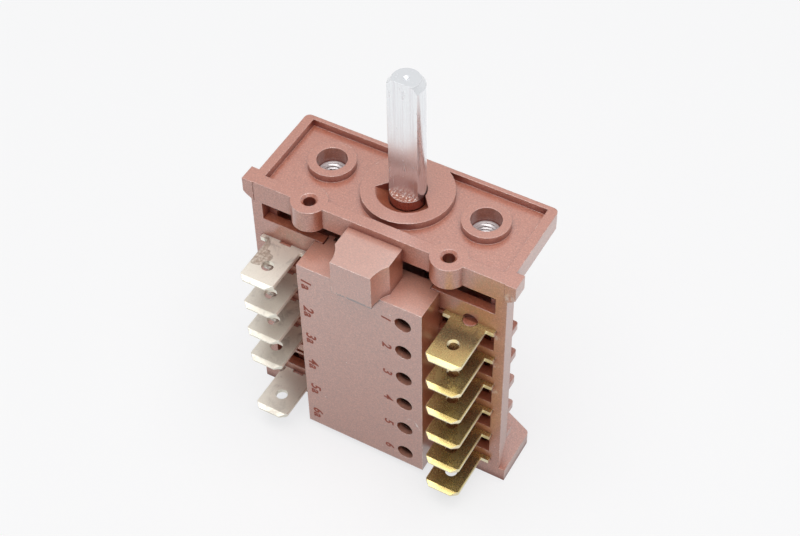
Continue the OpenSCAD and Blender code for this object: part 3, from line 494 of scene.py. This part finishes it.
threaded_insert("insert_left", -FIX_X)
threaded_insert("insert_right", FIX_X)


def detent_coil():
    """The detent's spring, with its outer end in the snout, copied from its solid."""
    solid = nodes["detent_spring"]
    piece = new_object("detent_coil", solid.data.copy())
    piece.matrix_world = solid.matrix_world.copy()
    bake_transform(piece)
    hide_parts("detent_spring")


detent_coil()


# The numbers on the cover, in millimetres, apart from the last three, which are ratios
LEFT_X, RIGHT_X = -9.9, 4.9
LEFT_DRIFT = 0.06  # the left column leans a little from level to level
RIGHT_RISE = 0.1
LEFT_SIZE, RIGHT_SIZE = 2.65, 2.35
RAISED = 0.03
BOLD = 0.018  # the strokes' growth on each side for a size of 1; much more breaks the 6
SLANT = 0.15
LETTER_SPACE = 1.1


def number(name, text, x, z, size, material):
    """A raised number on the cover, read downwards."""
    curve = bpy.data.curves.new(name, "FONT")
    curve.body = text
    curve.size = size * MM
    curve.extrude = RAISED * MM
    curve.offset = BOLD * size * MM
    curve.space_character = LETTER_SPACE
    curve.shear = SLANT
    curve.align_x = "CENTER"
    curve.align_y = "CENTER"
    flat = new_object(name + "_text", curve)
    bpy.context.view_layer.update()
    evaluated = flat.evaluated_get(bpy.context.evaluated_depsgraph_get())
    mesh = bpy.data.meshes.new_from_object(evaluated)
    bpy.data.objects.remove(flat)
    bpy.data.curves.remove(curve)
    for vertex in mesh.vertices:
        along, up, out = vertex.co
        vertex.co = (x * MM + up, COVER_FRONT * MM - out, z * MM - along)
    mesh.materials.clear()
    mesh.materials.append(material)
    piece = new_object(name, mesh)
    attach(piece, "housing")


def number_ink():
    """The numbers' plastic, redder and with less haze than the cover's face."""
    s = Shader("number_ink")
    s.set(s.bsdf.inputs["Base Color"], s.mix(s.noise(1800.0, 3.0), srgb(156, 80, 66), srgb(174, 98, 82)))
    s.set(s.bsdf.inputs["Roughness"], s.range(s.noise(2500.0, 3.0, seed=3.0), 0.3, 0.7, 0.5, 0.65))
    s.bsdf.inputs["Specular IOR Level"].default_value = 0.3
    return s.material


ink = number_ink()
for level in range(1, LEVELS + 1):
    number(f"number_{level}a", f"{level}a", LEFT_X + LEFT_DRIFT * level, level_z(level), LEFT_SIZE, ink)
    number(f"number_{level}", str(level), RIGHT_X, level_z(level) + RIGHT_RISE, RIGHT_SIZE, ink)


# Floor, background and light

FLOOR_HALF = 3.0
FLOOR_GLOW = (0.69, 0.70, 0.715)  # what the camera sees of the floor without any light
FLOOR_LIT = (0.285, 0.275, 0.265)  # what the lamp adds, and the object's shadow takes away
BOUNCE = (0.8, 0.8, 0.8)
# Painted shadow round the object in the floor's reflections, dim near it and full far off
MIRROR_NEAR, MIRROR_FAR = 0.015, 0.055  # reflections of the floor brighten between these distances
MIRROR_SHADED, MIRROR_FULL = 0.55, 1.0
PLAIN_LIGHT = 0.23
# The room in reflections: height from 0 at the horizon to 1 overhead, and grey level
ROOM_LOW, ROOM_TOP = (0.1, (1.0, 1.0, 1.0, 1)), (0.73, (1.0, 1.0, 1.0, 1))
ROOM_BAND, BAND_GREY = (0.55, 0.70), (0.34, 0.34, 0.35, 1)
KEY_PLACE, KEY_TARGET = (0.06, -0.10, 0.72), (0.0, 0.0, 0.0)
KEY_SIZE = (0.80, 0.80)
KEY_POWER = 5.35


def choose(tree, factor, first, second):
    """The first shader where factor is 0, the second where it is 1."""
    node = tree.nodes.new("ShaderNodeMixShader")
    for socket, source in zip(node.inputs, (factor, first, second)):
        tree.links.new(source, socket)
    return node.outputs[0]


def floor_material():
    """Near white with the object's shadow to the camera, brighter with distance in reflections:
    there a painted shadow lies round the object.
    """
    mat = bpy.data.materials.new("floor_white")
    mat.use_nodes = True
    tree = mat.node_tree
    tree.nodes.clear()
    make, link = tree.nodes.new, tree.links.new

    def shader(kind, colour):
        node = make(kind)
        node.inputs["Color"].default_value = colour + (1.0,)
        return node.outputs[0]

    path = make("ShaderNodeLightPath").outputs
    seen = make("ShaderNodeAddShader")
    link(shader("ShaderNodeEmission", FLOOR_GLOW), seen.inputs[0])
    link(shader("ShaderNodeBsdfDiffuse", FLOOR_LIT), seen.inputs[1])
    bounce = shader("ShaderNodeBsdfDiffuse", BOUNCE)
    # Painted shadow in reflections: the floor's mirror glow is dimmed near the object.
    far = make("ShaderNodeVectorMath")
    far.operation = "LENGTH"
    link(make("ShaderNodeTexCoord").outputs["Object"], far.inputs[0])
    rise = make("ShaderNodeMapRange")
    ends = {"From Min": MIRROR_NEAR, "From Max": MIRROR_FAR, "To Min": MIRROR_SHADED, "To Max": MIRROR_FULL}
    for name, end in ends.items():
        rise.inputs[name].default_value = end
    link(far.outputs["Value"], rise.inputs["Value"])
    mirror = make("ShaderNodeEmission")
    link(rise.outputs["Result"], mirror.inputs["Strength"])
    unseen = choose(tree, path["Is Glossy Ray"], bounce, mirror.outputs[0])
    surface = choose(tree, path["Is Camera Ray"], unseen, seen.outputs[0])
    link(surface, make("ShaderNodeOutputMaterial").inputs[0])
    return mat


def floor():
    """The floor, at the foot's underside."""
    low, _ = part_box("front_frame")
    mesh = bpy.data.meshes.new("floor")
    grid = bmesh.new()
    bmesh.ops.create_grid(grid, x_segments=1, y_segments=1, size=FLOOR_HALF)
    grid.to_mesh(mesh)
    grid.free()
    mesh.materials.append(floor_material())
    piece = new_object("floor", mesh)
    piece.location = (0, 0, low.z)


def key_lamp():
    """A wide square lamp overhead."""
    data = bpy.data.lights.new("key", "AREA")
    data.shape = "RECTANGLE"
    data.size, data.size_y = KEY_SIZE
    data.energy = KEY_POWER
    light = new_object("key", data)
    light.location = KEY_PLACE
    light.rotation_euler = (Vector(KEY_TARGET) - Vector(KEY_PLACE)).to_track_quat("-Z", "Y").to_euler()


def world():
    """A white room: even and dim for plain light, and in reflections white with a grey band high up."""
    sky = bpy.data.worlds.new("studio")
    bpy.context.scene.world = sky
    sky.use_nodes = True
    tree = sky.node_tree
    tree.nodes.clear()
    make, link = tree.nodes.new, tree.links.new

    def background(strength):
        node = make("ShaderNodeBackground")
        node.inputs["Color"].default_value = (1, 1, 1, 1)
        node.inputs["Strength"].default_value = strength
        return node

    path = make("ShaderNodeLightPath").outputs
    height = make("ShaderNodeSeparateXYZ")
    link(make("ShaderNodeTexCoord").outputs["Generated"], height.inputs[0])
    ramp = make("ShaderNodeValToRGB")
    for element, (position, colour) in zip(ramp.color_ramp.elements, (ROOM_LOW, ROOM_TOP)):
        element.color, element.position = colour, position
    for position in ROOM_BAND:
        ramp.color_ramp.elements.new(position).color = BAND_GREY
    link(height.outputs["Z"], ramp.inputs[0])
    reflected = background(1.0)
    link(ramp.outputs[0], reflected.inputs["Color"])
    plain_light, white = background(PLAIN_LIGHT), background(1.0)
    lit = choose(tree, path["Is Glossy Ray"], plain_light.outputs[0], reflected.outputs[0])
    surface = choose(tree, path["Is Camera Ray"], lit, white.outputs[0])
    link(surface, make("ShaderNodeOutputWorld").inputs[0])


floor()
world()
key_lamp()

bpy.context.scene.view_settings.view_transform = "Standard"
